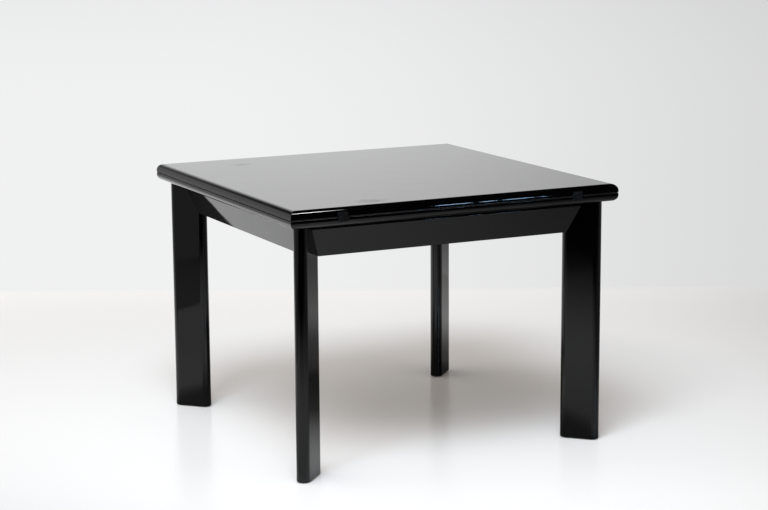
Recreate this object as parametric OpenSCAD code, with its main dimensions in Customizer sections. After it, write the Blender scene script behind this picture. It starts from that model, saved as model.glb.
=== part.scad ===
// Square extending dining table. The top is two leaves hinged along one edge and
// stacked face to face. They slide half their width over the frame on two runners,
// and the upper leaf then unfolds and doubles the length of the top.
// The origin is on the floor under the centre of the frame. +Z is up, +X runs along
// the hinged edge, and the hinged edge is on the -Y side.

/* [Top] */
// Side of the square top
top_side = 1000; // [850:10:1200]
// Height of the top surface above the floor
table_h = 741.5; // [640:0.5:800]
// Thickness of one leaf
leaf_t = 24.1; // [21:0.1:30]
// Gap between the folded leaves
leaf_gap = 0.6; // [0.4:0.1:2]
// Radius of the round along the outer edge of each leaf
edge_r = 17.5; // [8:0.5:24]
// Chamfer along the edge of the lower leaf at the seam
seam_chamfer = 2; // [0.5:0.1:3]
// Chamfer along the edge of the upper leaf at the seam
seam_break = 0.6; // [0.3:0.1:2]
// Inset of the felt dots from the edges of the lower leaf
dot_inset = 45; // [30:1:80]
// Radius of a felt dot
dot_r = 6; // [4:0.5:10]
// Depth of the recess for a felt dot
dot_recess = 1.1; // [0.8:0.1:2]

/* [Frame] */
// Gap between the aprons and the underside of the top
shadow_gap = 13; // [6:0.5:20]
// Height of the aprons
apron_h = 79.5; // [72:0.5:110]
// Thickness of the apron boards
apron_t = 28; // [18:1:32]
// Lean of the aprons from upright, with the lower edge further in
apron_tilt = 21; // [0:1:25]
// Inset of the lower edge of the aprons from the edge of the top
apron_inset = 88.4; // [75:0.2:110]
// Width of a leg, along the diagonal of the table
leg_w = 112; // [90:1:140]
// Thickness of a leg, and the diameter of its round ends
leg_t = 38; // [30:0.5:50]
// Inset of the outer end of a leg from both edges of the top
leg_inset = 34; // [20:1:60]
// Depth of a corner block, along the diagonal
block_d = 60; // [45:1:80]
// Height of a corner block
block_h = 60; // [50:1:70]
// Height of a foot glide
glide_h = 3; // [2:0.5:8]
// Radius of a foot glide
glide_r = 12; // [8:1:14]
// Bevel round the underside of a foot glide
glide_bevel = 1; // [0.5:0.1:2]
// Thickness of the felt on the leg tops and runners
felt_t = 2; // [1:0.5:4]
// Radius of the felt on a leg top
leg_felt_r = 12; // [8:1:14]

/* [Runners] */
// Inset of the inner face of a guide rail from the side of the top
rail_inset = 295; // [250:5:340]
// Width of a guide rail
rail_w = 30; // [26:1:40]
// Height of a guide rail
rail_h = 42; // [38:1:50]
// Width of the felt on a guide rail
rail_felt_w = 18; // [12:1:24]
// Depth of the groove in a guide rail
groove_d = 11; // [8:1:14]
// Height of the groove in a guide rail
groove_h = 12; // [10:1:16]
// Height of the groove above the underside of a guide rail
groove_up = 13.5; // [11:0.5:18]
// Width of a slider without its tongue
slider_w = 18; // [15:1:24]
// Height of a slider above the underside of the guide rails
slider_lift = 3; // [1:0.5:6]
// Number of screws in a slider
slider_screws_each = 3; // [2:1:5]
// Inset of the middle of a cross rail from the edge of the top
cross_inset = 300; // [280:5:340]
// Width of a cross rail
cross_w = 45; // [35:1:60]
// Height of a cross rail
cross_h = 32; // [28:1:36]
// Thickness of a stop bar
stop_t = 20; // [16:1:25]
// Height of a stop bar
stop_h = 34; // [28:1:36]
// Length of a rubber buffer
buffer_l = 8; // [5:0.5:12]
// Radius of a rubber buffer
buffer_r = 7; // [5:0.5:8.5]

/* [Hinges] */
// Inset of the middle of the left hinge from the side of the top
hinge_inset_left = 149; // [100:1:200]
// Inset of the middle of the right hinge from the side of the top
hinge_inset_right = 133; // [100:1:200]
// Distance of the fold axis outside the edge of the top
axis_out = 0.25; // [0.2:0.05:0.5]
// Length of a hinge along the edge
hinge_l = 32; // [26:1:50]
// Height of a hinge wing, from the seam
wing_h = 12.8; // [10:0.2:14]
// Thickness of a hinge wing
wing_t = 1.5; // [1.2:0.1:2]
// Depth of the wing's face behind the edge of the leaf
wing_inset = 1.2; // [0.6:0.1:1.6]
// Radius of the hinge knuckles
knuckle_r = 2.6; // [2.2:0.1:3]
// Radius of the hinge pin
pin_r = 1.1; // [0.8:0.05:1.4]
// Number of knuckles in a hinge
knuckles = 5; // [3:2:7]
// Distance between the two screws of a wing
hinge_screw_pitch = 19; // [14:1:20]
// Distance of the screws of a wing from the seam
hinge_screw_z = 7.5; // [6.8:0.1:7.8]
// Length of a hinge screw
hinge_screw_l = 14; // [10:1:18]
// Radius of the shank of a hinge screw
hinge_screw_r = 1.1; // [0.8:0.1:1.3]
// Radius of the head of a hinge screw
hinge_screw_head_r = 2.1; // [1.6:0.1:2.3]
// Height of the head of a hinge screw
hinge_screw_head_h = 1.1; // [0.8:0.1:1.3]

/* [Fasteners] */
// Radius of a leg bolt
bolt_r = 4; // [3:0.5:5]
// Length of a leg bolt inside the leg
bolt_grip = 48; // [30:1:60]
// Length of a leg bolt past its nut
bolt_past = 3; // [1:0.5:6]
// Distance between the two bolts of a leg
bolt_pitch = 30; // [25:1:36]
// Width across the flats of a leg nut
nut_af = 13; // [12:0.5:17]
// Height of a leg nut
nut_h = 6.4; // [5:0.2:8]
// Radius of a leg washer
washer_r = 8; // [7:0.5:10]
// Thickness of a leg washer
washer_t = 1.6; // [1:0.2:3]
// Radius of a dowel
dowel_r = 4; // [3:0.5:5]
// Length of a dowel in the apron
dowel_in_apron = 12; // [8:0.5:13]
// Length of a dowel in the rail
dowel_in_rail = 15; // [10:1:20]
// Height of the lower dowel above the underside of a guide rail
dowel_up = 8; // [6:0.5:10]
// Distance of the upper dowel below the top of an apron
dowel_down = 8; // [6:0.5:10]
// Distance of a dowel from the middle of a cross rail
dowel_side = 11; // [8:0.5:12]
// Radius of the shank of a frame screw
screw_r = 2.2; // [1.5:0.1:2.5]
// Radius of the head of a frame screw
screw_head_r = 4; // [3.5:0.1:4.5]
// Height of the head of a frame screw
screw_head_h = 3; // [2:0.2:4]
// Depth of the counterbore for the head of a frame screw
counterbore = 10; // [6:1:14]
// Length of a cross rail screw in the guide rail
cross_screw_in = 17; // [12:1:24]
// Length of a slider screw in the lower leaf
slider_screw_in = 14; // [8:0.5:16]
// Length of a stop bar screw in the bar
stop_screw_in = 25; // [15:1:40]
// Distance of a stop bar screw below the top of the bar
stop_screw_down = 6; // [5:0.5:7]
// Depth of a screw or bolt hole past the tip
pilot_past = 2; // [1:0.5:4]

/* [Clearances] */
// Gap between pieces that move past each other
slide_gap = 0.5; // [0.3:0.1:1]
// Gap over a seat that carries or stops a moving piece
rest_gap = 0.3; // [0.2:0.1:0.6]
// Radial clearance of a screw, bolt or dowel in its hole
hole_gap = 0.1; // [0.05:0.05:0.3]
// Radial clearance of the hinge pin in its knuckles
pin_gap = 0.05; // [0.02:0.01:0.08]
// Gap around a hinge in its recess, and between its knuckles
hinge_gap = 0.2; // [0.15:0.05:0.4]
// Gap between a corner block and the round end of its leg
block_gap = 0.2; // [0.1:0.05:0.5]

/* [Hidden] */

// Curves are drawn with this many sides
$fn = 48;
round_fn = 96;
// Cutting solids run this far past the faces that they cut
over = 1;
// The round of a leaf leaves at least this much of the edge upright
least_flat = 0.1;

lacquer = [0.012, 0.012, 0.014];
beech = [0.72, 0.52, 0.33];
steel = [0.55, 0.56, 0.58];
dark_metal = [0.10, 0.095, 0.09];
felt = [0.05, 0.05, 0.05];
rubber = [0.03, 0.03, 0.03];

// Levels of the top. The fold axis is in the middle of the gap between the leaves.
half = top_side / 2;
under_z = table_h - 2 * leaf_t - leaf_gap;
seam_z = under_z + leaf_t + leaf_gap / 2;
edge_round = min(edge_r, leaf_t - max(seam_chamfer, seam_break) - least_flat);
dot_z = seam_z - leaf_gap / 2 - dot_recess;
dot_t = dot_recess + leaf_gap - rest_gap;

// Levels of the frame
seat_z = under_z - rest_gap - felt_t;
apron_top = under_z - shadow_gap;
apron_bottom = apron_top - apron_h;
apron_depth = apron_t / cos(apron_tilt);

// Legs, measured from the middle of the table along the diagonal
leg_tip = (half - leg_inset) * sqrt(2);
leg_in = leg_tip - leg_w;
leg_round_ds = [leg_in + leg_t / 2, leg_tip - leg_t / 2];

// Corner blocks and their bolts, measured along the diagonal
block_out = leg_in - block_gap;
block_in = block_out - block_d;
block_z = apron_bottom + (apron_h - block_h) / 2;
bolt_zs = [for (s = [-1, 1]) block_z + block_h / 2 + s * bolt_pitch / 2];
nut_out = block_in - washer_t;
bolt_end = nut_out - nut_h - bolt_past;

// Runners. The sliders hang under the lower leaf between the guide rails.
rail_x = half - rail_inset;
rail_mid_x = rail_x + rail_w / 2;
rail_z = seat_z - rail_h;
groove_z = rail_z + groove_up;
slider_z = rail_z + slider_lift;
slider_x = rail_x - slide_gap;
tongue_d = groove_d - 2 * slide_gap;
tongue_h = groove_h - 2 * slide_gap;
back_of_groove_x = rail_x + (groove_d + rail_w) / 2;
cross_y = half - cross_inset;
cross_z = rail_z - cross_h;

// Stops. The bars end at the guide rails, and the buffers are on their inner faces.
stop_y = apron_back(slider_z) + slide_gap;
stop_face_y = stop_y + stop_t;
stop_mid_ys = [stop_y + stop_t / 2, -stop_y - stop_t / 2];
buffer_x = slider_x - slider_w / 2;
buffer_z = slider_z + stop_h / 2;
slider_y = stop_face_y + buffer_l + rest_gap;
travel = half;
slider_l = -2 * slider_y - travel;
rail_felt_l = -2 * slider_y;
slider_screw_ys = [for (i = [0:slider_screws_each - 1]) slider_y + slider_l * (i + 0.5) / slider_screws_each];

// Dowels and screws in the runners
rail_dowel_z = [rail_z + dowel_up, apron_top - dowel_down];
cross_dowel_z = cross_z + cross_h / 2;
cross_dowel_ys = [cross_y - dowel_side, cross_y + dowel_side];
stop_screw_z = slider_z + stop_h - stop_screw_down;

// Hinges. The axis is just outside the edge, so that the open leaves don't touch.
hinge_xs = [-half + hinge_inset_left, half - hinge_inset_right];
hinge_y = -half - axis_out;
wing_face_y = -half + wing_inset;
wing_back_y = wing_face_y + wing_t;
knuckle_pitch = (hinge_l + hinge_gap) / knuckles;
knuckle_l = knuckle_pitch - hinge_gap;
cove_r = knuckle_r + hinge_gap;
hinge_screw_x = hinge_screw_pitch / 2;

// Outer and inner face of the front apron at height z
function apron_face(z) = -half + apron_inset - (z - apron_bottom) * tan(apron_tilt);
function apron_back(z) = apron_face(z) + apron_depth;

// Extrudes a drawing in (y, z) along X, over l on both sides of x
module along_x(x, l) {
    translate([x, 0, 0]) rotate([90, 0, 90]) linear_extrude(l, center = true) children();
}

// Extrudes a drawing in (x, z) along Y, over l on both sides of y
module along_y(y, l) {
    translate([0, y, 0]) rotate([90, 0, 0]) linear_extrude(l, center = true) children();
}

// Cylinder along X from x1 to x2
module rod_x(x1, x2, y, z, r) {
    translate([x1, y, z]) rotate([0, 90, 0]) cylinder(h = x2 - x1, r = r);
}

// Cylinder along Y from y1 to y2
module rod_y(y1, y2, x, z, r) {
    translate([x, y1, z]) rotate([-90, 0, 0]) cylinder(h = y2 - y1, r = r);
}

// Cylinder along the front left diagonal, between two distances from the middle
module rod_diagonal(d1, d2, z, r, sides = $fn) {
    rotate([0, 0, 225]) translate([d1, 0, z]) rotate([0, 90, 0]) cylinder(h = d2 - d1, r = r, $fn = sides);
}

// Countersunk screw that points along +Z, with the top of its head at zero
module countersunk(l, r, head_r, head_h) {
    tip = 2 * r;
    slot = head_r / 4;
    difference() {
        union() {
            cylinder(h = head_h, r1 = head_r, r2 = r);
            cylinder(h = l - tip, r = r);
            translate([0, 0, l - tip]) cylinder(h = tip, r1 = r, r2 = r / 5);
        }
        translate([-head_r, -slot / 2, -over]) cube([2 * head_r, slot, over + head_h / 3]);
    }
}

// Pan head screw that points along +Z, with its head below zero
module pan_screw(l, r, head_r, head_h) {
    slot = head_r / 4;
    tip = 2 * r;
    difference() {
        union() {
            translate([0, 0, -head_h]) cylinder(h = head_h, r = head_r);
            cylinder(h = l - tip, r = r);
            translate([0, 0, l - tip]) cylinder(h = tip, r1 = r, r2 = r / 5);
        }
        translate([-head_r, -slot / 2, -head_h - over]) cube([2 * head_r, slot, over + head_h / 2]);
    }
}

// Section of a leaf: rounded below, with a chamfer c at the seam above
module leaf_section(c) {
    r = edge_round;
    difference() {
        polygon([
            [-half, 0], [half, 0], [half, leaf_t - c],
            [half - c, leaf_t], [-half + c, leaf_t], [-half, leaf_t - c]
        ]);
        for (side = [0, 1]) mirror([side, 0]) translate([half - r, r]) difference() {
            translate([0, -r - over]) square([r + over, r + over]);
            circle(r, $fn = round_fn);
        }
    }
}

// Square leaf with its rounded edges mitred at the corners, on the plane z = 0
module leaf_blank(c) {
    intersection() {
        along_x(0, top_side + 2 * over) leaf_section(c);
        along_y(0, top_side + 2 * over) leaf_section(c);
    }
}

// Room in one leaf for the hinges: the seat of the wing and the cove round the knuckles.
// side is -1 for the leaf below the seam and 1 for the leaf above it.
module hinge_recesses(side) {
    reach = wing_h + hinge_gap;
    for (x = hinge_xs) {
        translate([x, wing_back_y - half / 2, seam_z + side * reach / 2])
            cube([hinge_l + 2 * hinge_gap, half, reach], center = true);
        rod_x(x - hinge_l / 2 - hinge_gap, x + hinge_l / 2 + hinge_gap, hinge_y, seam_z, cove_r);
        for (dx = [-hinge_screw_x, hinge_screw_x])
            rod_y(wing_face_y, wing_face_y + hinge_screw_l + pilot_past, x + dx,
                seam_z + side * hinge_screw_z, hinge_screw_r + hole_gap);
    }
}

module lower_leaf() {
    color(lacquer) difference() {
        translate([0, 0, under_z]) leaf_blank(seam_chamfer);
        hinge_recesses(-1);
        for (x = [-1, 1]) for (y = slider_screw_ys)
            translate([x * buffer_x, y, under_z - over])
                cylinder(h = over + slider_screw_in + pilot_past, r = screw_r + hole_gap);
        for (x = [-1, 1]) for (y = [-1, 1])
            translate([x * (half - dot_inset), y * (half - dot_inset), dot_z])
                cylinder(h = dot_recess + over, r = dot_r + hole_gap);
    }
}

module upper_leaf() {
    color(lacquer) difference() {
        translate([0, 0, table_h]) mirror([0, 0, 1]) leaf_blank(seam_break);
        hinge_recesses(1);
    }
}

module leaf_felt_dots() {
    color(felt) for (x = [-1, 1]) for (y = [-1, 1])
        translate([x * (half - dot_inset), y * (half - dot_inset), dot_z]) cylinder(h = dot_t, r = dot_r);
}

// The frame repeats at every quarter turn. Corner 0 is front left, then front right,
// back right and back left. Side 0 is the front, then right, back and left.
module leg(corner) {
    color(lacquer) rotate([0, 0, 90 * corner]) difference() {
        rotate([0, 0, 225]) translate([0, 0, glide_h]) linear_extrude(seat_z - glide_h) {
            translate([leg_in + leg_t / 2, -leg_t / 2]) square([leg_w - leg_t, leg_t]);
            for (d = leg_round_ds) translate([d, 0]) circle(leg_t / 2, $fn = round_fn);
        }
        for (z = bolt_zs)
            rod_diagonal(leg_in - over, leg_in + bolt_grip + pilot_past, z, bolt_r + hole_gap);
    }
}

module apron(side) {
    // The ends are cut back from the corner, to butt on the broad faces of the legs
    end_cut = leg_t / sqrt(2);
    color(lacquer) rotate([0, 0, 90 * side]) difference() {
        intersection() {
            along_x(0, top_side) polygon([
                [apron_face(apron_bottom), apron_bottom], [apron_face(apron_top), apron_top],
                [apron_back(apron_top), apron_top], [apron_back(apron_bottom), apron_bottom]
            ]);
            translate([0, 0, apron_bottom - over]) linear_extrude(apron_h + 2 * over)
                polygon([[0, -end_cut], [-half + end_cut, -half], [half - end_cut, -half]]);
        }
        if (side % 2 == 0) for (x = [-1, 1]) for (z = rail_dowel_z)
            rod_y(apron_back(z) - dowel_in_apron - over, 0, x * back_of_groove_x, z, dowel_r + hole_gap);
        if (side % 2 == 1) for (y = cross_dowel_ys) for (s = [-1, 1])
            rod_y(apron_back(cross_dowel_z) - dowel_in_apron - over, 0, s * y, cross_dowel_z,
                dowel_r + hole_gap);
    }
}

// Region inside the inner faces of the front and back aprons, in (y, z)
module between_aprons(z1, z2) {
    polygon([[apron_back(z1), z1], [-apron_back(z1), z1], [-apron_back(z2), z2], [apron_back(z2), z2]]);
}

module corner_block(corner) {
    color(beech) rotate([0, 0, 90 * corner]) difference() {
        intersection() {
            rotate([0, 0, 225]) translate([block_in, -half, block_z]) cube([block_d, top_side, block_h]);
            along_x(0, top_side) between_aprons(block_z, block_z + block_h);
            along_y(0, top_side) between_aprons(block_z, block_z + block_h);
        }
        for (z = bolt_zs) rod_diagonal(block_in - over, block_out + over, z, bolt_r + 2 * hole_gap);
    }
}

module leg_bolts() {
    color(steel) for (corner = [0:3]) rotate([0, 0, 90 * corner])
        for (z = bolt_zs) rod_diagonal(bolt_end, leg_in + bolt_grip, z, bolt_r);
}

module leg_washers() {
    color(steel) for (corner = [0:3]) rotate([0, 0, 90 * corner]) for (z = bolt_zs) difference() {
        rod_diagonal(block_in - washer_t, block_in, z, washer_r);
        rod_diagonal(block_in - washer_t - over, block_in + over, z, bolt_r + hole_gap);
    }
}

module leg_nuts() {
    color(steel) for (corner = [0:3]) rotate([0, 0, 90 * corner]) for (z = bolt_zs) difference() {
        rod_diagonal(nut_out - nut_h, nut_out, z, nut_af / sqrt(3), 6);
        rod_diagonal(nut_out - nut_h - over, nut_out + over, z, bolt_r + pin_gap);
    }
}

module foot_glides() {
    color(felt) for (corner = [0:3]) rotate([0, 0, 90 * corner + 225])
        for (d = leg_round_ds) translate([d, 0, 0])
            cylinder(h = glide_h, r1 = glide_r - glide_bevel, r2 = glide_r);
}

module leg_felts() {
    color(felt) for (corner = [0:3]) rotate([0, 0, 90 * corner + 225])
        translate([leg_in + leg_w / 2, 0, seat_z]) cylinder(h = felt_t, r = leg_felt_r);
}

// Guide rail along Y between the front and back aprons. side is -1 at the left, 1 at the right.
module guide_rail(side) {
    color(beech) difference() {
        along_x(side * rail_mid_x, rail_w) between_aprons(rail_z, seat_z);
        translate([side * (rail_x + groove_d / 2 - over / 2), 0, groove_z + groove_h / 2])
            cube([groove_d + over, top_side, groove_h], center = true);
        for (end = [0, 180]) rotate([0, 0, end]) for (x = [-1, 1]) for (z = rail_dowel_z)
            rod_y(apron_back(z) - dowel_r, apron_back(z) + dowel_in_rail + over, x * back_of_groove_x, z,
                dowel_r + hole_gap);
        for (y = [-cross_y, cross_y])
            translate([side * back_of_groove_x, y, rail_z - over])
                cylinder(h = over + cross_screw_in + pilot_past, r = screw_r + hole_gap);
        for (y = stop_mid_ys)
            rod_x(side * rail_mid_x - rail_w, side * rail_mid_x + rail_w, y, stop_screw_z,
                screw_r + hole_gap);
    }
}

module rail_felt(side) {
    color(felt) translate([side * rail_mid_x, 0, seat_z + felt_t / 2])
        cube([rail_felt_w, rail_felt_l, felt_t], center = true);
}

// Cross rail along X under the guide rails. side is -1 at the front, 1 at the back.
module cross_rail(side) {
    color(beech) difference() {
        along_y(side * cross_y, cross_w) between_aprons(cross_z, rail_z);
        for (x = [-back_of_groove_x, back_of_groove_x]) translate([x, side * cross_y, cross_z - over]) {
            cylinder(h = cross_h + 2 * over, r = screw_r + hole_gap);
            cylinder(h = counterbore + over, r = screw_head_r + slide_gap);
        }
        for (turn = [-90, 90]) rotate([0, 0, turn]) for (y = cross_dowel_ys) for (s = [-1, 1])
            rod_y(apron_back(cross_dowel_z) - dowel_r, apron_back(cross_dowel_z) + dowel_in_rail + over,
                s * y, cross_dowel_z, dowel_r + hole_gap);
    }
}

module cross_rail_screws() {
    color(steel) for (x = [-back_of_groove_x, back_of_groove_x]) for (y = [-cross_y, cross_y])
        translate([x, y, cross_z + counterbore])
            pan_screw(cross_h - counterbore + cross_screw_in, screw_r, screw_head_r, screw_head_h);
}

module rail_dowels() {
    color(beech) {
        for (end = [0, 180]) rotate([0, 0, end]) for (x = [-1, 1]) for (z = rail_dowel_z)
            rod_y(apron_back(z) - dowel_in_apron, apron_back(z) + dowel_in_rail, x * back_of_groove_x, z,
                dowel_r);
        for (turn = [-90, 90]) rotate([0, 0, turn]) for (y = cross_dowel_ys) for (s = [-1, 1])
            rod_y(apron_back(cross_dowel_z) - dowel_in_apron, apron_back(cross_dowel_z) + dowel_in_rail,
                s * y, cross_dowel_z, dowel_r);
    }
}

// Bar between the guide rails that stops the sliders. turn is 0 at the front, 180 at the back.
module stop_bar(turn) {
    color(beech) rotate([0, 0, turn]) difference() {
        translate([-rail_x, stop_y, slider_z]) cube([2 * rail_x, stop_t, stop_h]);
        for (x = [-1, 1])
            rod_x(x * rail_x - stop_screw_in - pilot_past, x * rail_x + stop_screw_in + pilot_past,
                stop_y + stop_t / 2, stop_screw_z, screw_r + hole_gap);
    }
}

module stop_bar_screws() {
    color(steel) for (turn = [0, 180]) rotate([0, 0, turn]) for (side = [-1, 1])
        translate([side * (rail_x + rail_w), stop_y + stop_t / 2, stop_screw_z]) rotate([0, -90 * side, 0])
            pan_screw(rail_w + stop_screw_in, screw_r, screw_head_r, screw_head_h);
}

module stop_buffers() {
    color(rubber) for (turn = [0, 180]) rotate([0, 0, turn]) for (x = [-buffer_x, buffer_x])
        rod_y(stop_face_y, stop_face_y + buffer_l, x, buffer_z, buffer_r);
}

// Slider under the lower leaf, with a tongue in the groove. side is -1 at the left, 1 at the right.
module slider(side) {
    color(beech) difference() {
        union() {
            translate([side > 0 ? slider_x - slider_w : -slider_x, slider_y, slider_z])
                cube([slider_w, slider_l, under_z - slider_z]);
            translate([side > 0 ? slider_x - over : -slider_x - tongue_d, slider_y, groove_z + slide_gap])
                cube([tongue_d + over, slider_l, tongue_h]);
        }
        for (y = slider_screw_ys) translate([side * buffer_x, y, slider_z - over]) {
            cylinder(h = under_z - slider_z + 2 * over, r = screw_r + hole_gap);
            cylinder(h = counterbore + over, r = screw_head_r + slide_gap);
        }
    }
}

module slider_screws() {
    color(steel) for (x = [-buffer_x, buffer_x]) for (y = slider_screw_ys)
        translate([x, y, slider_z + counterbore])
            pan_screw(under_z - slider_z - counterbore + slider_screw_in, screw_r, screw_head_r,
                screw_head_h);
}

// Left end of knuckle i, from the middle of the hinge
function knuckle_x(i) = -hinge_l / 2 + i * knuckle_pitch;

// One half of a hinge. side is -1 for the half on the lower leaf, which has the outer knuckles,
// and 1 for the half on the upper leaf.
module hinge_wing(x, side) {
    own = side < 0 ? 0 : 1;
    color(dark_metal) translate([x, 0, seam_z]) difference() {
        union() {
            translate([-hinge_l / 2, wing_face_y, side > 0 ? leaf_gap / 2 : -wing_h])
                cube([hinge_l, wing_t, wing_h - leaf_gap / 2]);
            for (i = [own:2:knuckles - 1])
                rod_x(knuckle_x(i), knuckle_x(i) + knuckle_l, hinge_y, 0, knuckle_r);
        }
        rod_x(-hinge_l, hinge_l, hinge_y, 0, pin_r + pin_gap);
        for (i = [1 - own:2:knuckles - 1])
            rod_x(knuckle_x(i) - hinge_gap, knuckle_x(i) + knuckle_l + hinge_gap, hinge_y, 0, cove_r);
        for (dx = [-hinge_screw_x, hinge_screw_x]) translate([dx, wing_face_y, side * hinge_screw_z]) {
            rod_y(-over, wing_t + over, 0, 0, hinge_screw_r + hole_gap);
            rotate([-90, 0, 0])
                cylinder(h = hinge_screw_head_h + hole_gap, r1 = hinge_screw_head_r + hole_gap,
                    r2 = hinge_screw_r + hole_gap);
        }
    }
}

module hinge_pin(x) {
    color(dark_metal) rod_x(x - hinge_l / 2, x + hinge_l / 2, hinge_y, seam_z, pin_r);
}

module hinge_screws(side) {
    color(dark_metal) for (x = hinge_xs) for (dx = [-hinge_screw_x, hinge_screw_x])
        translate([x + dx, wing_face_y, seam_z + side * hinge_screw_z]) rotate([-90, 0, 0])
            countersunk(hinge_screw_l, hinge_screw_r, hinge_screw_head_r, hinge_screw_head_h);
}

leg(0);  // leg_front_left
leg(1);  // leg_front_right
leg(2);  // leg_back_right
leg(3);  // leg_back_left
apron(0);  // apron_front
apron(1);  // apron_right
apron(2);  // apron_back
apron(3);  // apron_left
corner_block(0);  // corner_block_front_left
corner_block(1);  // corner_block_front_right
corner_block(2);  // corner_block_back_right
corner_block(3);  // corner_block_back_left
leg_bolts();
leg_washers();
leg_nuts();
foot_glides();
leg_felts();
guide_rail(-1);  // guide_rail_left
guide_rail(1);  // guide_rail_right
rail_felt(-1);  // rail_felt_left
rail_felt(1);  // rail_felt_right
cross_rail(-1);  // cross_rail_front
cross_rail(1);  // cross_rail_back
cross_rail_screws();
rail_dowels();
stop_bar(0);  // stop_bar_front
stop_bar(180);  // stop_bar_back
stop_bar_screws();
stop_buffers();
lower_leaf();
slider(-1);  // slider_left
slider(1);  // slider_right
slider_screws();
leaf_felt_dots();
hinge_wing(hinge_xs[0], -1);  // hinge_lower_left
hinge_wing(hinge_xs[1], -1);  // hinge_lower_right
hinge_pin(hinge_xs[0]);  // hinge_pin_left
hinge_pin(hinge_xs[1]);  // hinge_pin_right
hinge_screws(-1);  // hinge_screws_lower
upper_leaf();
hinge_wing(hinge_xs[0], 1);  // hinge_upper_left
hinge_wing(hinge_xs[1], 1);  // hinge_upper_right
hinge_screws(1);  // hinge_screws_upper
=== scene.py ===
"""Looks of the square extending dining table: gloss black lacquer, a beech frame inside and two
small dark hinges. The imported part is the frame. Leaves, legs and aprons are made again here as
finer surfaces with softened edges. Lengths are in metres, angles in radians."""

import bpy
import numpy as np
from mathutils import Matrix, Vector


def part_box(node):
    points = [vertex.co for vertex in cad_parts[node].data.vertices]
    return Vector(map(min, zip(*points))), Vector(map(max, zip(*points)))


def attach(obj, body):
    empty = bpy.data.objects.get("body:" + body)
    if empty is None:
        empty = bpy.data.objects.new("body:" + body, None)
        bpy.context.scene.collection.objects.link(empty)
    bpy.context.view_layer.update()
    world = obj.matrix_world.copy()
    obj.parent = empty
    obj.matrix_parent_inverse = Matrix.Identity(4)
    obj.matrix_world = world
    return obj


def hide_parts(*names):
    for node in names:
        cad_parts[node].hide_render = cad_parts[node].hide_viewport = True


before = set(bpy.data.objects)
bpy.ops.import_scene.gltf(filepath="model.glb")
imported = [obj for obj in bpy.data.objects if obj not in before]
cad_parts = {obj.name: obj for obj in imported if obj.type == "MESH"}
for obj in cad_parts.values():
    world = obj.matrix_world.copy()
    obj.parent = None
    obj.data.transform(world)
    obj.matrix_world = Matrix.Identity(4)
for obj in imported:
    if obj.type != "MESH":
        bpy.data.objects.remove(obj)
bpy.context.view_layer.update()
MM = 0.001


# Camera and lamps

CAMERA_PLACE = (-2.5421, -5.1583, 1.5935)
CAMERA_YAW, CAMERA_PITCH, CAMERA_ROLL = np.radians((26.37, -10.76, -0.34))
LENS_MM, SENSOR_MM = 93.85, 36
FAR_CLIP = 80


def photo_camera():
    """The photograph's camera. It looks along yaw (clockwise from +Y) and pitch, then rolls."""
    yaw, pitch, roll = CAMERA_YAW, CAMERA_PITCH, CAMERA_ROLL
    ahead = Vector((np.sin(yaw) * np.cos(pitch), np.cos(yaw) * np.cos(pitch), np.sin(pitch)))
    side = Vector((np.cos(yaw), -np.sin(yaw), 0))
    top = side.cross(ahead)
    side, top = (side * np.cos(roll) + top * np.sin(roll),
                 top * np.cos(roll) - side * np.sin(roll))
    camera = bpy.data.objects.new("camera", bpy.data.cameras.new("camera"))
    bpy.context.collection.objects.link(camera)
    camera.data.lens = LENS_MM
    camera.data.sensor_width = SENSOR_MM
    camera.data.clip_end = FAR_CLIP
    turn = Matrix((side, top, -ahead)).transposed().to_4x4()
    camera.matrix_world = Matrix.Translation(CAMERA_PLACE) @ turn
    bpy.context.scene.camera = camera


def softbox(name, place, aim, size, watts, in_gloss, tint=(1, 1, 1)):
    """Area lamp at place, turned towards aim and hidden from the camera. It either shows in the
    gloss alone or lights without showing there."""
    lamp = bpy.data.lights.new(name, "AREA")
    lamp.shape = "RECTANGLE"
    lamp.size, lamp.size_y = size
    lamp.energy = watts
    lamp.color = tint
    holder = bpy.data.objects.new(name, lamp)
    bpy.context.collection.objects.link(holder)
    away = (Vector(place) - Vector(aim)).normalized()
    turn = away.to_track_quat("Z", "Y").to_matrix().to_4x4()
    holder.matrix_world = Matrix.Translation(place) @ turn
    holder.visible_camera = False
    holder.visible_glossy = in_gloss
    holder.visible_diffuse = not in_gloss


# Node trees

class Value:
    """A socket that takes part in sums: each operator adds a Math node to the tree."""

    def __init__(self, shop, socket):
        self.shop, self.socket = shop, socket

    def _sum(self, operation, a, b=0.0):
        return self.shop.value("ShaderNodeMath", {"operation": operation}, {0: a, 1: b})

    def __add__(self, other):
        return self._sum("ADD", self, other)

    def __radd__(self, other):
        return self._sum("ADD", other, self)

    def __sub__(self, other):
        return self._sum("SUBTRACT", self, other)

    def __rsub__(self, other):
        return self._sum("SUBTRACT", other, self)

    def __mul__(self, other):
        return self._sum("MULTIPLY", self, other)

    def __rmul__(self, other):
        return self._sum("MULTIPLY", other, self)

    def __truediv__(self, other):
        return self._sum("DIVIDE", self, other)

    def __pow__(self, other):
        return self._sum("POWER", self, other)

    def exp(self):
        return self._sum("EXPONENT", self)

    def either(self, other):
        return self._sum("MAXIMUM", self, other)

    def held(self, low, high):
        return self._sum("MINIMUM", self.either(low), high)


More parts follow.
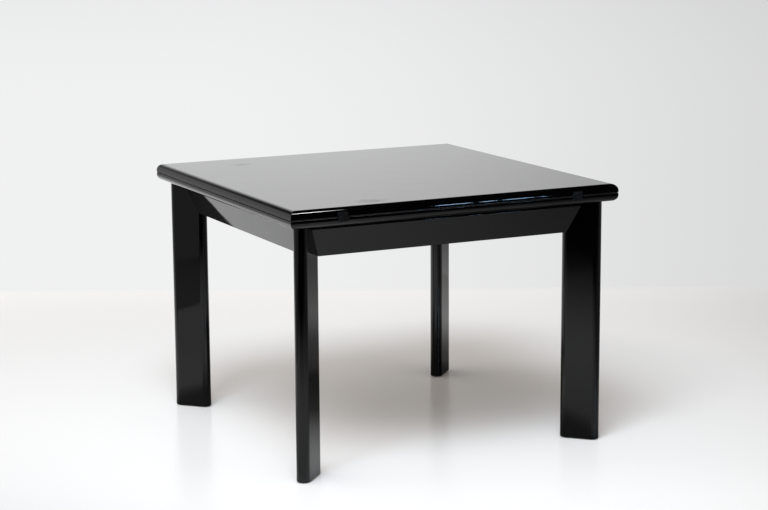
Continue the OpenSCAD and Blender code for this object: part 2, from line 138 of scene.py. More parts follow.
class Shop:
    """The node tree of one finish. Every node comes from node(), and value() gives its output."""

    def __init__(self, owner):
        owner.use_nodes = True
        self.owner, self.tree = owner, owner.node_tree
        self.tree.nodes.clear()

    def node(self, kind, settings=None, sockets=None):
        """One node: its settings first, then the values or links of its sockets."""
        made = self.tree.nodes.new(kind)
        for key, setting in (settings or {}).items():
            setattr(made, key, setting)
        for key, given in (sockets or {}).items():
            if isinstance(given, Value):
                self.tree.links.new(given.socket, made.inputs[key])
            elif given is not None:
                made.inputs[key].default_value = given
        return made

    def value(self, kind, settings=None, sockets=None, output=0):
        return Value(self, self.node(kind, settings, sockets).outputs[output])

    def place(self, stretch=(1, 1, 1), shift=(0, 0, 0)):
        """Object coordinates, shifted and then stretched."""
        here = self.value("ShaderNodeTexCoord", output="Object")
        moved = self.value("ShaderNodeVectorMath", {"operation": "SUBTRACT"}, {0: here, 1: shift})
        return self.value("ShaderNodeVectorMath", {"operation": "MULTIPLY"},
                          {0: moved, 1: stretch})

    def along(self, at, axis):
        """How far a place lies along an axis."""
        return self.value("ShaderNodeVectorMath", {"operation": "DOT_PRODUCT"},
                          {0: at, 1: axis}, "Value")

    def reach(self, x, y, half_x=1.0, half_y=1.0):
        """How far a place is, in plan, from (x, y). It is 1 all round the oval with these half
        widths."""
        oval = self.place((1 / half_x, 1 / half_y, 0), (x, y, 0))
        return self.value("ShaderNodeVectorMath", {"operation": "LENGTH"}, {0: oval}, "Value")

    def ray(self, kind):
        """1 where the surface is met by this kind of ray, else 0."""
        return self.value("ShaderNodeLightPath", output=f"Is {kind} Ray")

    def noise(self, at, scale, detail=2.0, rough=0.5, twist=0.0):
        return self.value("ShaderNodeTexNoise", None, {
            "Vector": at, "Scale": scale, "Detail": detail, "Roughness": rough,
            "Distortion": twist})

    def ramp(self, value, span, gives=(0.0, 1.0)):
        """Smooth step between the two numbers in gives, while value runs over the span."""
        return self.value("ShaderNodeMapRange", {"interpolation_type": "SMOOTHSTEP"}, {
            "Value": value, "From Min": span[0], "From Max": span[1],
            "To Min": gives[0], "To Max": gives[1]})

    def blend(self, share, a, b):
        """Colour a where share is 0 and colour b where it is 1."""
        a, b = [colour if isinstance(colour, Value) else (*colour, 1) for colour in (a, b)]
        return self.value("ShaderNodeMix", {"data_type": "RGBA"}, {0: share, 6: a, 7: b}, 2)

    def bump(self, height, distance, strength=1.0, normal=None):
        return self.value("ShaderNodeBump", None, {
            "Height": height, "Distance": distance, "Strength": strength, "Normal": normal})

    def finish(self, **sockets):
        """Principled surface from named sockets, with underscores for the spaces in their names."""
        names = {key.replace("_", " "): given for key, given in sockets.items()}
        surface = self.value("ShaderNodeBsdfPrincipled", None, names)
        self.node("ShaderNodeOutputMaterial", None, {"Surface": surface})
        return self.owner


def shop(name):
    return Shop(bpy.data.materials.new(name))


# Finishes

GLOSS = 0.035
LACQUER, LACQUER_DUST = (0.0006, 0.0006, 0.0007), (0.016, 0.015, 0.014)
SEALED, SEAM_DUST = (0.004, 0.004, 0.004), (0.016, 0.016, 0.016)
BEECH_PALE, BEECH_DEEP = (0.60, 0.40, 0.235), (0.44, 0.265, 0.14)
BEECH_BAND, BEECH_FLECK = (0.68, 0.48, 0.30), (0.27, 0.145, 0.07)
FELT_DEEP, FELT_PALE = (0.020, 0.020, 0.022), (0.085, 0.083, 0.085)
NYLON, NYLON_RUBBED = (0.014, 0.014, 0.015), (0.10, 0.097, 0.09)
RUBBER, RUBBER_BLOOM = (0.016, 0.016, 0.016), (0.060, 0.058, 0.055)
BRASS_DARK, BRASS_MOTTLED = (0.008, 0.008, 0.008), (0.028, 0.028, 0.027)
BRASS_WORN = (0.13, 0.12, 0.10)
ZINC_DULL, ZINC_BRIGHT = (0.50, 0.52, 0.55), (0.72, 0.73, 0.74)

SEAM_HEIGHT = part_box("lower_leaf")[1].z
TOP_FROM, TOP_FULL = SEAM_HEIGHT + 15 * MM, SEAM_HEIGHT + 20 * MM

# Squares of distances: from the seam, from the middle to the rim, and from a plain face
SEAM_SQUARES, RIM_SQUARES, PLAIN_SQUARES = (4.0e-6, 3.0e-6), (0.2460, 0.2475), (4.0e-8, 1.0e-8)


def lacquer(name, marks=(), plain=None):
    """Gloss black lacquer: a faint orange peel, a slow waviness, dust and wiped patches. Each mark
    is an oval on the top at (x, y), with its half widths, where the gloss is a little duller. A
    little dust lies in the seam between the leaves, along their rim. Plain is the height of a
    hidden face, which is only sealed and rubbed down: the underside of the top or the upper faces
    of the aprons."""
    s = shop(name)
    at = s.place()
    height = s.along(at, (0, 0, 1))
    peel = s.bump(s.noise(at, 130.0, detail=2.0, rough=0.55), 0.12 * MM, strength=0.12)
    normal = s.bump(s.noise(at, 9.0, detail=1.0), 2.2 * MM, strength=0.10, normal=peel)
    wiped = s.noise(s.place((1.4, 4.0, 4.0)), 2.2, detail=4.0, rough=0.6, twist=0.6)
    dust = s.ramp(s.noise(at, 1500.0, detail=1.0), (0.72, 0.80))
    dull = s.ramp(wiped, (0.45, 0.75)) * 0.035
    on_top = s.ramp(height, (TOP_FROM, TOP_FULL))
    for x, y, half_x, half_y in marks:
        ragged = s.reach(x, y, half_x, half_y) + (s.noise(at, 30.0, detail=3.0) - 0.5) * 0.7
        dull = dull + s.ramp(ragged, (1.1, 0.2)) * on_top * 0.16
    x, y = s.along(at, (1, 0, 0)), s.along(at, (0, 1, 0))
    on_rim = s.ramp((x * x).either(y * y), RIM_SQUARES)
    seam = s.ramp((height - SEAM_HEIGHT) ** 2, SEAM_SQUARES) * on_rim
    colour = s.blend(dust * 0.4, LACQUER, LACQUER_DUST)
    colour = s.blend(seam * s.noise(at, 60.0, detail=3.0), colour, SEAM_DUST)
    dull = dull + seam * 0.3
    if plain is not None:
        sealed = s.ramp((height - plain) ** 2, PLAIN_SQUARES)
        colour = s.blend(sealed, colour, SEALED)
        dull = dull + sealed * 0.7
    rough = (dull + dust * 0.3 + GLOSS).held(0.0, 1.0)
    return s.finish(Base_Color=colour, Roughness=rough, IOR=1.5, Normal=normal)


def beech(name, grain):
    """Oiled beech with its grain along one axis: long soft streaks, growth bands and short flecks,
    each a noise that is stretched along the grain."""
    s = shop(name)
    streaks, bands, flecks = np.full(3, 9.0), np.full(3, 21.6), np.full(3, 420.0)
    streaks[grain], bands[grain], flecks[grain] = 0.9, 2.16, 55.0
    streak = s.noise(s.place(streaks), 3.0, detail=5.0, rough=0.6, twist=0.8)
    band = s.noise(s.place(bands), 6.0, detail=3.0, rough=0.55, twist=0.3)
    fleck = s.ramp(s.noise(s.place(flecks), 1.0, detail=1.0), (0.60, 0.72))
    base = s.blend(s.ramp(streak, (0.3, 0.7)), BEECH_PALE, BEECH_DEEP)
    base = s.blend(s.ramp(band, (0.35, 0.7)) * 0.45, base, BEECH_BAND)
    base = s.blend(fleck * 0.55, base, BEECH_FLECK)
    normal = s.bump(band * 0.6 + fleck * -0.4, 0.3 * MM, strength=0.5)
    return s.finish(Base_Color=base, Roughness=0.46 + streak * 0.16, IOR=1.48, Normal=normal)


def felt_finish():
    """Dark grey pressed felt: cloudy colour, matted fibres and a soft sheen."""
    s = shop("felt_grey")
    at = s.place()
    fibre = s.noise(at, 1900.0, detail=3.0, rough=0.7, twist=1.5)
    cloud = s.noise(at, 220.0, detail=3.0)
    colour = s.blend(fibre * 0.7 + cloud * 0.3, FELT_DEEP, FELT_PALE)
    return s.finish(Base_Color=colour, Roughness=0.92 + cloud * 0.06, Sheen_Weight=0.4,
                    Sheen_Roughness=0.5, Normal=s.bump(fibre, 0.6 * MM, strength=0.8))


def nylon_finish():
    """Black moulded nylon of the glides, rubbed duller by the floor low down."""
    s = shop("nylon_black")
    at = s.place()
    low = s.ramp(s.along(at, (0, 0, 1)), (2.2 * MM, 0.0))
    rubbed = low * s.noise(at, 260.0, detail=4.0, rough=0.7)
    normal = s.bump(s.noise(at, 900.0, detail=2.0), 0.1 * MM, strength=0.4)
    return s.finish(Base_Color=s.blend(rubbed, NYLON, NYLON_RUBBED),
                    Roughness=0.38 + rubbed * 0.4, IOR=1.53, Normal=normal)


def rubber_finish():
    """Black rubber of the buffers, with a dusty bloom."""
    s = shop("rubber_black")
    at = s.place()
    bloom = s.ramp(s.noise(at, 120.0, detail=5.0, rough=0.65), (0.4, 0.75))
    normal = s.bump(s.noise(at, 1400.0, detail=2.0), 0.15 * MM, strength=0.6)
    return s.finish(Base_Color=s.blend(bloom, RUBBER, RUBBER_BLOOM),
                    Roughness=0.62 + bloom * 0.25, IOR=1.5, Normal=normal)


def hinge_finish():
    """Darkened brass of the hinges: a mottled brown black skin that is worn brighter in places."""
    s = shop("hinge_bronze")
    at = s.place()
    mottle = s.noise(at, 380.0, detail=4.0, rough=0.62, twist=0.7)
    worn = s.ramp(s.noise(at, 170.0, detail=3.0, rough=0.6), (0.52, 0.72))
    brushed = s.noise(s.place((40.0, 900.0, 2600.0)), 1.0, detail=2.0)
    colour = s.blend(s.ramp(mottle, (0.35, 0.7)), BRASS_DARK, BRASS_MOTTLED)
    colour = s.blend(worn * 0.3, colour, BRASS_WORN)
    return s.finish(Base_Color=colour, Metallic=0.9,
                    Roughness=0.50 - worn * 0.14 + mottle * 0.12,
                    Normal=s.bump(brushed * 0.5 + mottle, 0.12 * MM, strength=0.5))


def zinc_finish():
    """Zinc plated steel: small cloudy grains and fine turning marks."""
    s = shop("zinc_plated_steel")
    at = s.place()
    grain = s.value("ShaderNodeTexVoronoi", {"feature": "F1"}, {"Vector": at, "Scale": 420.0},
                    "Distance")
    cloud = s.noise(at, 90.0, detail=4.0, rough=0.6)
    colour = s.blend(grain * 0.6 + cloud * 0.4, ZINC_DULL, ZINC_BRIGHT)
    return s.finish(Base_Color=colour, Metallic=1.0, Roughness=0.26 + cloud * 0.22,
                    Normal=s.bump(grain, 0.08 * MM, strength=0.5))


# Surfaces

ARC_STEP = np.radians(18)
ARC_LEAST = 3
KEYS_PER_METRE = 1e7


def outline(corners, radii, closed=True):
    """Outline of a polygon that is drawn anticlockwise, with its corners turned into arcs. Along an
    arc the outward normal turns evenly from one side's normal to the next, and a point is the
    arc's centre plus the radius times that normal (minus, in an inner corner). Returns the points
    and their normals. A corner of radius 0 is given twice, once with each normal."""
    corners = np.array(corners, float)
    points, normals = [], []
    for i, (corner, radius) in enumerate(zip(corners, radii)):
        before = corner - corners[i - 1]
        after = corners[(i + 1) % len(corners)] - corner
        if not closed and i in (0, len(corners) - 1):
            before = after = after if i == 0 else before
        heading = np.arctan2(before[1], before[0])
        turn = (np.arctan2(after[1], after[0]) - heading + np.pi) % (2 * np.pi) - np.pi
        steps = 1 if closed or 0 < i < len(corners) - 1 else 0
        if radius > 0:
            steps = max(ARC_LEAST, int(np.ceil(abs(turn) / ARC_STEP)))
        at = heading + turn * np.linspace(0, 1, steps + 1)
        out = np.stack([np.sin(at), -np.cos(at)], 1)
        bend = np.sign(turn) * radius
        start = corner - before / np.hypot(*before) * radius * np.tan(abs(turn) / 2)
        points.append(start - bend * out[0] + bend * out)
        normals.append(out)
    if closed:
        points.append(points[0][:1])
        normals.append(normals[0][:1])
    return np.concatenate(points), np.concatenate(normals)


def rim(base, angle, radius, core, height, normal):
    """Surface carried round a rim. Each place on the rim has a base point and a facing angle. At
    each step of the profile the base is held within the core, and the point is the base plus the
    radius times the facing direction, at the step's height. The normal is the profile's, turned
    to the facing direction. Returns grids (rim, profile, 3)."""
    facing = np.stack([np.cos(angle), np.sin(angle)], 1)[:, None, :]
    limit = np.stack([core[0], core[1]], 1)[None, :, :]
    plan = np.clip(base[:, None, :], -limit, limit) + radius[None, :, None] * facing
    shape = plan.shape[:2]
    points = np.dstack([plan, np.broadcast_to(height, shape)])
    out = normal[None, :, 0, None] * facing
    return points, np.dstack([out, np.broadcast_to(normal[:, 1], shape)])


def turned(patches, angle, shift=(0.0, 0.0, 0.0)):
    """Patches turned about the upright axis and then moved."""
    c, s = np.cos(angle), np.sin(angle)
    turn = np.array([[c, s, 0], [-s, c, 0], [0, 0, 1]])
    return [(points @ turn + np.array(shift), normals @ turn) for points, normals in patches]


def make_piece(name, patches, finish, body, stands_for):
    """One closed object from patches, which are grids of points and of normals. Cells become
    faces, equal points become one vertex, a face is turned round where it looks against its
    normals, and the normals are kept on the face corners."""
    cells, looks = [], []
    for points, normals in patches:
        for grid, kept in ((points, cells), (normals, looks)):
            quads = np.stack([grid[:-1, :-1], grid[1:, :-1], grid[1:, 1:], grid[:-1, 1:]], 2)
            kept.append(quads.reshape(-1, 4, 3))
    cells, looks = np.concatenate(cells), np.concatenate(looks)
    across = np.cross(cells[:, 2] - cells[:, 0], cells[:, 3] - cells[:, 1])
    back = (across * looks.mean(1)).sum(1) < 0
    cells[back], looks[back] = cells[back][:, ::-1], looks[back][:, ::-1]
    keys = np.round(cells.reshape(-1, 3) * KEYS_PER_METRE).astype(np.int64)
    _, first, index = np.unique(keys, axis=0, return_index=True, return_inverse=True)
    index = index.reshape(-1, 4)
    kept = index != np.roll(index, 1, axis=1)
    folded = (index[:, 0] == index[:, 2]) | (index[:, 1] == index[:, 3])
    kept[(kept.sum(1) < 3) | folded] = False
    counts = kept.sum(1)
    counts = counts[counts > 0]
    faces = np.split(index[kept], np.cumsum(counts)[:-1])
    mesh = bpy.data.meshes.new(name)
    mesh.from_pydata(cells.reshape(-1, 3)[first].tolist(), [], [face.tolist() for face in faces])
    mesh.polygons.foreach_set("use_smooth", [True] * len(faces))
    mesh.normals_split_custom_set(looks[kept].tolist())
    mesh.materials.append(finish)
    made = bpy.data.objects.new(name, mesh)
    bpy.context.collection.objects.link(made)
    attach(made, body)
    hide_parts(*stands_for)


# Leaves

PLAN_ROUND = 1.2 * MM
EDGE_ROUND = 17.5 * MM
SEAM_CHAMFERS = {"lower_leaf": 2.0 * MM, "upper_leaf": 0.6 * MM}
CHAMFER_ROUNDS = (0.45 * MM, 0.3 * MM)
COVE_BACK = 2.53 * MM
HINGE_PLACES = (-0.351, 0.367)
RECESS_HALF = 16.2 * MM
WING_BACK, WING_REACH, WING_SILL = 2.7 * MM, 12.7 * MM, 0.6 * MM
LOW_STEPS, HIGH_STEPS, CORNER_STEPS = 9, 25, 7


def leaf(name, finish, body):
    """Square leaf. Its edge profile, from the middle of the seam face out and over to the middle
    of the other face, is carried round a square whose corners have a small plan radius. At the
    hinges the profile steps back to the recess of the wing, with a wall at both ends."""
    low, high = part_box(name)
    half, thick = high.x, high.z - low.z
    seam, way = (high.z, -1) if name == "lower_leaf" else (low.z, 1)
    level = thick - EDGE_ROUND
    rise = np.arcsin((WING_REACH - level) / EDGE_ROUND)

    def arc(start, stop, count):
        at = np.linspace(start, stop, count)
        out = np.stack([np.cos(at), np.sin(at)], 1)
        return np.array([half - EDGE_ROUND, level]) + EDGE_ROUND * out, out

    chamfer, cove = SEAM_CHAMFERS[name], half - COVE_BACK
    inner, inner_out = outline([(0, 0), (cove, 0)], (0, 0), False)
    edge, edge_out = outline([(cove, 0), (half - chamfer, 0), (half, chamfer), (half, level)],
                             (0, *CHAMFER_ROUNDS, 0), False)
    low_arc, low_out = arc(0, rise, LOW_STEPS)
    high_arc, high_out = arc(rise, np.pi / 2, HIGH_STEPS)
    flat, flat_out = outline([(half - EDGE_ROUND, thick), (0, thick)], (0, 0), False)
    reach = np.concatenate([edge, low_arc])
    step_back = np.array([(cove, 0), (half - WING_BACK, WING_SILL),
                          (half - WING_BACK, WING_REACH), reach[-1]])
    run = np.concatenate([[0], np.cumsum(np.hypot(*np.diff(step_back, axis=0).T))])
    even = np.linspace(0, run[-1], len(reach))
    recess = np.stack([np.interp(even, run, step_back[:, k]) for k in (0, 1)], 1)
    recess_out = np.tile([1.0, 0.0], (len(recess), 1))
    whole = np.concatenate([inner, reach, high_arc, flat])
    whole_out = np.concatenate([inner_out, edge_out, low_out, high_out, flat_out])
    cut = np.concatenate([inner, recess, high_arc, flat])
    cut_out = np.concatenate([inner_out, recess_out, high_out, flat_out])

    def carried(base, angle, profile, out):
        radius = np.minimum(PLAN_ROUND, profile[:, 0])
        core = (profile[:, 0] - radius,) * 2
        return rim(base, angle, radius, core, seam + way * profile[:, 1], out * [1, way])

    far = 2 * half
    front = -np.pi / 2
    ends = sorted(place + side * RECESS_HALF for place in HINGE_PLACES for side in (-1, 1))
    corner = np.linspace(0, np.pi / 2, CORNER_STEPS)
    base, angle = [(ends[3], -far)], [front]
    for turn, (x, y) in enumerate([(far, -far), (far, far), (-far, far), (-far, -far)]):
        base += [(x, y)] * CORNER_STEPS
        angle += list(front + turn * np.pi / 2 + corner)
    base.append((ends[0], -far))
    angle.append(front)
    patches = [carried(np.array(base), np.array(angle), whole, whole_out)]
    for k, (profile, out) in enumerate([(cut, cut_out), (whole, whole_out), (cut, cut_out)]):
        stretch = np.array([(ends[k], -far), (ends[k + 1], -far)])
        patches.append(carried(stretch, np.array([front, front]), profile, out))
    for x, look in zip(ends, (1, -1, 1, -1)):
        wall = np.stack([np.stack([np.full(len(p), x), -p[:, 0], seam + way * p[:, 1]], 1)
                         for p in (reach, recess)])
        patches.append((wall, np.broadcast_to([look, 0.0, 0.0], wall.shape)))
    make_piece(name + "_lacquered", patches, finish, body, [name])


# Legs and aprons

LEG_RADIUS = 19 * MM
LEG_EDGE = 1.0 * MM
LEG_STEPS = 37
LEG_BUTT = 2 * LEG_RADIUS / np.sqrt(2)
APRON_LEAN = np.radians(21)
APRON_THICK = 28 * MM
APRON_FRONT_EDGE, APRON_BACK_EDGE, APRON_END_EDGE = 1.4 * MM, 0.8 * MM, 0.5 * MM


def leg(name, corner, finish):
    """Plank leg with half round ends, set on the diagonal. Its profile, from the middle of the
    foot out and up to the middle of the top, is carried round a straight core line."""
    low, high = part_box(name)
    core = ((high.x - low.x) / 2 - LEG_RADIUS) * np.sqrt(2)
    profile, out = outline([(0, low.z), (LEG_RADIUS, low.z), (LEG_RADIUS, high.z), (0, high.z)],
                           (0, LEG_EDGE, LEG_EDGE, 0), False)
    half_turn = np.linspace(-np.pi / 2, np.pi / 2, LEG_STEPS)
    angle = np.concatenate([half_turn, half_turn + np.pi, [1.5 * np.pi]])
    base = np.zeros((len(angle), 2))
    base[:, 0] = core
    base[LEG_STEPS:-1, 0] = -core
    limit = np.full(len(profile), core)
    patches = [rim(base, angle, profile[:, 0], (limit, limit * 0), profile[:, 1], out)]
    middle = (low + high) / 2
    patches = turned(patches, np.radians(225 + 90 * corner), (middle.x, middle.y, 0))
    make_piece(name + "_lacquered", patches, finish, "frame", [name])


def apron(name, side, finish):
    """Leaning apron board. Its section is carried along the side of the frame to the broad faces
    of the legs, the planes |x| = -y - LEG_BUTT, with a fine chamfer round both ends."""
    low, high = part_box("apron_front")
    lean = (high.z - low.z) * np.tan(APRON_LEAN)
    deep = APRON_THICK / np.cos(APRON_LEAN)
    section, out = outline([(low.y + lean, low.z), (low.y + lean + deep, low.z),
                            (low.y + deep, high.z), (low.y, high.z)],
                           (APRON_FRONT_EDGE, APRON_BACK_EDGE, APRON_BACK_EDGE, APRON_FRONT_EDGE))
    inset = section - out * APRON_END_EDGE
    normal = np.stack([np.zeros(len(out)), out[:, 0], out[:, 1]], 1)

    def ring(points, shorter, way):
        x = way * (-points[:, 0] - LEG_BUTT - shorter)
        return np.stack([x, points[:, 0], points[:, 1]], 1)

    rings = {way: ring(section, APRON_END_EDGE * np.sqrt(2), way) for way in (-1, 1)}
    patches = [(np.stack([rings[-1], rings[1]]), np.stack([normal, normal]))]
    for way in (-1, 1):
        end = np.array([way, 1.0, 0.0]) / np.sqrt(2)
        slope = normal + end
        slope /= np.linalg.norm(slope, axis=1)[:, None]
        tip = ring(inset, 0.0, way)
        patches.append((np.stack([rings[way], tip]), np.stack([slope, slope])))
        middle = np.broadcast_to(tip[:-1].mean(0), tip.shape)
        patches.append((np.stack([tip, middle]), np.broadcast_to(end, (2, *tip.shape))))
    patches = turned(patches, np.radians(90 * side))
    make_piece(name + "_lacquered", patches, finish, "frame", [name])


# Everything in its finish

TOP_MARKS = ((-0.285, 0.358, 0.06, 0.036), (-0.238, -0.434, 0.07, 0.046))
CORNERS = ("front_left", "front_right", "back_right", "back_left")
SIDES = ("front", "right", "back", "left")
GRAIN_ALONG_X = ("cross_rail_front", "cross_rail_back", "stop_bar_front", "stop_bar_back")

photo_camera()

black = lacquer("black_lacquer_gloss")
black_under = lacquer("black_lacquer_under", (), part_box("lower_leaf")[0].z)
black_apron = lacquer("black_lacquer_apron", (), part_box("apron_front")[1].z)
black_top = lacquer("black_lacquer_top", TOP_MARKS)
grain = {axis: beech("beech_" + axis, "xyz".index(axis)) for axis in "xyz"}
finishes = {"felt": felt_finish(), "nylon": nylon_finish(), "rubber": rubber_finish(),
            "hinge_metal": hinge_finish(), "zinc_steel": zinc_finish()}

leaf("lower_leaf", black_under, "carriage")
leaf("upper_leaf", black_top, "flap")
for turn, (corner, side) in enumerate(zip(CORNERS, SIDES)):
    leg("leg_" + corner, turn, black)
    apron("apron_" + side, turn, black_apron)

grain_ways = {name: "x" for name in GRAIN_ALONG_X}
grain_ways.update({"corner_block_" + corner: "z" for corner in CORNERS})
for name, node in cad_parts.items():
    for holder in node.material_slots:
        slot = holder.material.name.split(".")[0]
        if slot == "beech":
            holder.material = grain[grain_ways.get(name, "y")]
        elif slot in finishes:
            holder.material = finishes[slot]


# Studio

# Directions in plan: away from the camera, to its right, to the wall behind it at the left and
# to the brighter half of the soft light
BACK, SIDE = (0.4442, 0.8960, 0.0), (0.8960, -0.4442, 0.0)
LEFT_WALL, SOFT_SIDE = (-0.866, -0.5, 0.0), (-0.97, -0.37, 0.0)
PAPER = (0.990, 0.993, 1.0)
PAPER_SHEEN, SHEEN_ROUGH = (0.9, 0.9, 0.9, 1), 0.22
SOFT_TINT, KEY_TINT, PANE_TINT = (1.085, 1.0, 0.925), (0.895, 1.0, 1.09), (0.62, 1.0, 1.5)
SOFT_LIGHT = 0.671
CAMERA_BACK = 5.75
FLOOR_REACH, FLOOR_SIDES = 30.0, 128
WALL_LINE, FLOOR_RING, LEFT_PLAIN = (1.84, 1.96), (3.0, 5.0), (-0.75, -1.0)
# The paper's level, and the shares of the painted reflection tone on the paper and in the glow
PAPER_LEVEL, MIRRORED_PAPER, MIRRORED_PLAIN = 0.966, 0.80, 0.95

# Painted patches of the floor's tone: a painted shadow under the table, and a painted light spot by
# the near leg and a painted shadow oval, the last two seen only in reflections; (x, y), with half
# widths where they aren't round
PAINTED_SHADOW_PATCH, PAINTED_LIGHT_SPOT, PAINTED_SHADOW_OVAL = (0.28, 0.08), (-0.26, -0.34), (0.72, 0.25, 0.8, 0.625)
# Half widths of the painted shadow square under the top, seen in reflections
SHADOW_SQUARE_HALF_X, SHADOW_SQUARE_HALF_Y = 0.66, 0.56

# Factors of b and a, of bb, ab and aa, and of bbb, abb, aab and aaa in the paper's painted fall-off
# of the light
PAINTED_FALL_OFF = (-0.032, 0.051), (-0.130, -0.042, -0.093), (0.072, 0.010, 0.034, -0.031)

# Each pane's x, y and width, then what the panes share, with the watts for each metre of width
PANES = ((1.149, -2.703, 0.130), (1.293, -2.680, 0.070), (1.424, -2.665, 0.102),
         (1.527, -2.650, 0.015))
PANE_HEIGHT, PANE_TALL, PANE_AIM, PANE_WATTS = 0.545, 0.15, (0.09, -0.5, 0.72), 12


def backdrop_painted_fall_off(s, sideways):
    """Tone of the plain pale backdrop for the camera, with a painted fall-off of the light to the
    right.
    """
    return s.ramp(sideways, (-0.1, 0.32), (0.885, 0.66))


def paper_tone_painted_shade(s, behind, aside):
    """How much of its light the paper gives back, with painted light and shade: e to the power of a
    smooth cubic in the metres behind (b) and aside (a) of the table's middle, a painted fall-off of
    the light, with a round painted shadow under the table and a wide faint painted shadow behind
    it."""
    b, a = behind.held(-1.0, 1.9), aside.held(-1.6, 1.6)
    (of_b, of_a), (of_bb, of_ab, of_aa), (of_bbb, of_abb, of_aab, of_aaa) = PAINTED_FALL_OFF
    # painted fall-off of the light across the paper
    fall = b * of_b + a * of_a + b * b * of_bb + a * b * of_ab + a * a * of_aa
    fall = fall + (b * of_bbb + a * of_abb) * b * b + (b * of_aab + a * of_aaa) * a * a
    # painted shadow: a round darker patch under the table
    under = s.ramp(s.reach(*PAINTED_SHADOW_PATCH), (0.15, 0.65), (0.81, 1.0))
    # painted shadow: a wide faint darkening behind the table
    wide = s.ramp(((behind - 0.6) / 0.75) ** 2 + (aside - 0.2) ** 2, (0.4, 1.1), (0.93, 1.0))
    return fall.exp() * PAPER_LEVEL * under * wide


def painted_reflection_tone(s, here, behind, aside):
    """The floor as only the gloss sees it, a painted reflection: brightest behind the table, dimmer
    to both sides and dark far in front. At the front left the paper ends and a grey floor begins. A
    painted shadow lowers the tone in an oval at the table's right side and in the square under the
    top, apart from a painted light spot by the near leg."""
    front = s.ramp(behind, (-2.8, -1.0), (0.0, 0.62))
    paper_end = s.ramp(aside, (-1.58, -1.54), (0.42, 1.0)).either(s.ramp(behind, (-0.6, -0.2)))
    tone = front * paper_end + s.ramp(behind, (-0.5, 0.9), (0.0, 0.6))
    tone = tone * s.ramp(aside, (0.2, 1.8), (1.0, 0.25))
    tone = tone * s.ramp(aside, (-3.5, -1.6), (0.45, 1.0))
    tone = tone.either(s.ramp(aside, (-2.0, -2.3), (0.0, 0.27)))
    # painted shadow in the reflection: an oval at the table's right side
    tone = tone * s.ramp(s.reach(*PAINTED_SHADOW_OVAL), (0.35, 1.15), (0.25, 1.0))
    x, y = s.along(here, (1, 0, 0)), s.along(here, (0, 1, 0))
    # painted shadow of the top in the reflection: the square under it
    square = (x / SHADOW_SQUARE_HALF_X) ** 4 + (y / SHADOW_SQUARE_HALF_Y) ** 4
    # painted light spot in the reflection by the near leg
    spot = s.ramp(s.reach(*PAINTED_LIGHT_SPOT), (0.0, 0.7), (1.8, 0.0))
    return tone * s.ramp(square, (0.6, 1.5), (0.26, 1.0)).either(spot)


def studio_floor():
    """Round pale floor with a soft sheen. Near the table it takes the light and the table's shadow,
    over the paper's painted light and shade. A wall line behind the table and a wide ring round it
    lead over to a plain pale glow, with a painted fall-off of the light to the right. A reflection
    sees the painted reflection tone instead, and at the left a glow of that tone with no cast
    shadow."""
    at = np.linspace(0, 2 * np.pi, FLOOR_SIDES, endpoint=False)
    edge = np.stack([FLOOR_REACH * np.cos(at), FLOOR_REACH * np.sin(at), at * 0], 1)
    mesh = bpy.data.meshes.new("floor")
    mesh.from_pydata(edge.tolist(), [], [list(range(FLOOR_SIDES))])
    floor = bpy.data.objects.new("floor", mesh)
    bpy.context.collection.objects.link(floor)
    s = shop("floor_paper")
    here = s.place()
    behind, aside = s.along(here, BACK), s.along(here, SIDE)
    camera_ray, gloss_ray = s.ray("Camera"), s.ray("Glossy")
    lit, mirrored = paper_tone_painted_shade(s, behind, aside), painted_reflection_tone(s, here, behind, aside)
    # glossy rays see the painted reflection tone instead of the paper's own
    share = lit + gloss_ray * (mirrored * MIRRORED_PAPER - lit)
    paper = s.value("ShaderNodeBsdfDiffuse", None, {"Color": s.blend(share, (0, 0, 0), PAPER)})
    sheen = s.value("ShaderNodeBsdfGlossy", None,
                    {"Color": PAPER_SHEEN, "Roughness": SHEEN_ROUGH})
    sheen_share = s.ramp(behind, (-1.1, -0.3), (0.0, 0.15))
    paper = s.value("ShaderNodeMixShader", None, {0: sheen_share, 1: paper, 2: sheen})
    distance = behind + CAMERA_BACK
    # painted fall-off of the light: darker to the right, and a little darker far away
    wall = backdrop_painted_fall_off(s, aside / distance) * s.ramp(distance, (12.0, 28.0), (1.0, 0.95))
    # painted reflection: glossy rays see a glow of the painted reflection tone
    own = mirrored * MIRRORED_PLAIN
    strength = own + camera_ray * (wall - own)
    glow = s.value("ShaderNodeVectorMath", {"operation": "SCALE"}, {0: PAPER, "Scale": strength})
    plain = s.value("ShaderNodeEmission", None, {"Color": glow})
    beyond = s.ramp(behind, WALL_LINE) + s.ramp(s.reach(0, 0), FLOOR_RING)
    # painted reflection: at the left a reflection sees that glow, with no cast shadow
    beyond = beyond + gloss_ray * s.ramp(aside, LEFT_PLAIN)
    surface = s.value("ShaderNodeMixShader", None, {0: beyond, 1: paper, 2: plain})
    s.node("ShaderNodeOutputMaterial", None, {"Surface": surface})
    mesh.materials.append(s.owner)


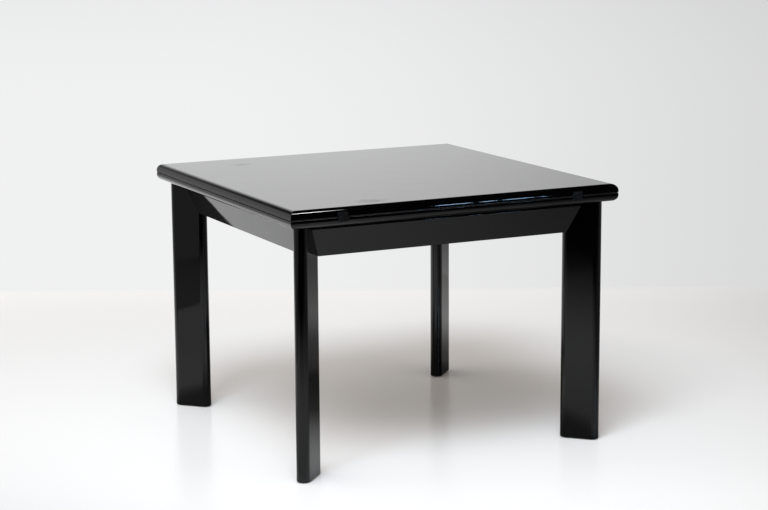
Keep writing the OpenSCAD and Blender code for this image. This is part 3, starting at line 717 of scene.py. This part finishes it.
def studio_world():
    """Pale room. The camera sees the plain pale backdrop. A reflection sees a wall behind the table
    that is bright at the left and dim at the right, a dimmer one behind the camera at the left,
    and a dark ceiling, which starts higher over the bright part. The rest is a soft light, which
    is strongest from one side."""
    s = Shop(bpy.context.scene.world or bpy.data.worlds.new("studio"))
    bpy.context.scene.world = s.owner
    look = s.value("ShaderNodeTexCoord", output="Generated")
    behind, aside, above = s.along(look, BACK), s.along(look, SIDE), s.along(look, (0, 0, 1))
    camera_ray, gloss_ray = s.ray("Camera"), s.ray("Glossy")
    wall = s.ramp(behind, (0.1, 0.55)) * s.ramp(aside, (-0.85, -0.15), (0.45, 1.12))
    wall = wall * s.ramp(aside, (-0.05, 0.3), (1.0, 0.35))
    wall = wall + s.ramp(s.along(look, LEFT_WALL), (0.2, 0.5), (0.0, 0.55))
    lift = s.ramp(aside, (-0.6, -0.25), (0.0, 0.12)) * s.ramp(aside, (-0.1, 0.05), (1.0, 0.0))
    wall = wall * s.ramp(above - lift, (0.18, 0.42), (1.0, 0.0))
    soft = s.along(look, SOFT_SIDE) * SOFT_LIGHT + SOFT_LIGHT
    even = gloss_ray.either(camera_ray)
    # the camera sees the backdrop with its painted fall-off of the light
    strength = camera_ray * backdrop_painted_fall_off(s, aside) + gloss_ray * wall
    strength = strength + (1 - even) * soft.either(0.0)
    tint = s.blend(even, SOFT_TINT, PAPER)
    glow = s.value("ShaderNodeBackground", None, {"Color": tint, "Strength": strength})
    s.node("ShaderNodeOutputWorld", None, {"Surface": glow})


studio_floor()
studio_world()
softbox("key", place=(-2.28, -2.76, 5.84), aim=(0, 0, 0.4), size=(3.0, 3.0), watts=291,
        in_gloss=False, tint=KEY_TINT)
softbox("top_light", place=(0.62, -1.35, 3.0), aim=(-0.45, -0.5, 0.7), size=(0.24, 0.16),
        watts=6, in_gloss=True)
for count, (x, y, wide) in enumerate(PANES, 1):
    softbox(f"window_pane_{count}", place=(x, y, PANE_HEIGHT), aim=PANE_AIM,
            size=(wide, PANE_TALL), watts=wide * PANE_WATTS, in_gloss=True, tint=PANE_TINT)
bpy.context.scene.view_settings.view_transform = "Standard"
